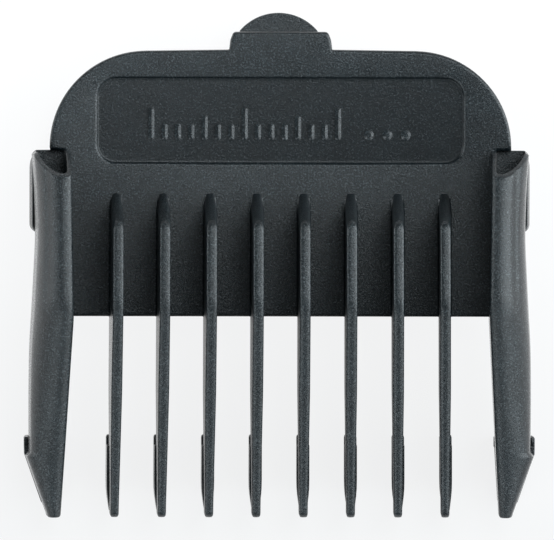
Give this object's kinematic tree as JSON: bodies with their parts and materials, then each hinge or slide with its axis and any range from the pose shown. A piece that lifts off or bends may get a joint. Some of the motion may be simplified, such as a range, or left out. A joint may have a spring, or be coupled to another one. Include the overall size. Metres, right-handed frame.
{
  "type": "clipper guide comb",
  "caption": "Clip-on guide comb for a full-size hair clipper: flat blade plate, crested comb teeth, hollow side rails, tip hooks and a flexing rear latch.",
  "frame": {"origin": "centre of the comb's outline, on the surface it lies on when its blade side is down", "axes": "+X across the comb, +Y from the tooth tips to the latch, +Z from the blade side to the skin side"},
  "size_m": [0.0498, 0.0492, 0.0134],
  "materials": {
    "moulding": "black moulded plastic, fine satin grain"
  },
  "bodies": {
    "comb": {"back_plate": "moulding", "size_mark": "moulding", "latch_bridge": "moulding", "latch_hinge_web": "moulding", "tooth_1": "moulding", "tooth_2": "moulding", "tooth_3": "moulding", "tooth_4": "moulding", "tooth_5": "moulding", "tooth_6": "moulding", "tooth_7": "moulding", "tooth_8": "moulding", "tip_hook_1": "moulding", "tip_hook_2": "moulding", "tip_hook_3": "moulding", "tip_hook_4": "moulding", "tip_hook_5": "moulding", "tip_hook_6": "moulding", "tip_hook_7": "moulding", "tip_hook_8": "moulding", "left_end_tooth": "moulding", "left_rail_floor": "moulding", "left_rail_skin": "moulding", "left_shoe": "moulding", "left_corner_hook": "moulding", "left_side_ear": "moulding", "right_end_tooth": "moulding", "right_rail_floor": "moulding", "right_rail_skin": "moulding", "right_shoe": "moulding", "right_corner_hook": "moulding", "right_side_ear": "moulding"},
    "latch": {"latch_wall": "moulding", "latch_catch": "moulding", "thumb_tab": "moulding"}
  },
  "joints": [
    {"name": "latch_flex", "type": "hinge", "parent": "comb", "child": "latch", "pos_m": [0, 0.0222, 0.00325], "axis": [1, 0, 0], "range_deg": [0, 16], "stiffness_Nm_per_rad": 0.05, "deforming": ["latch_hinge_web"]}
  ]
}
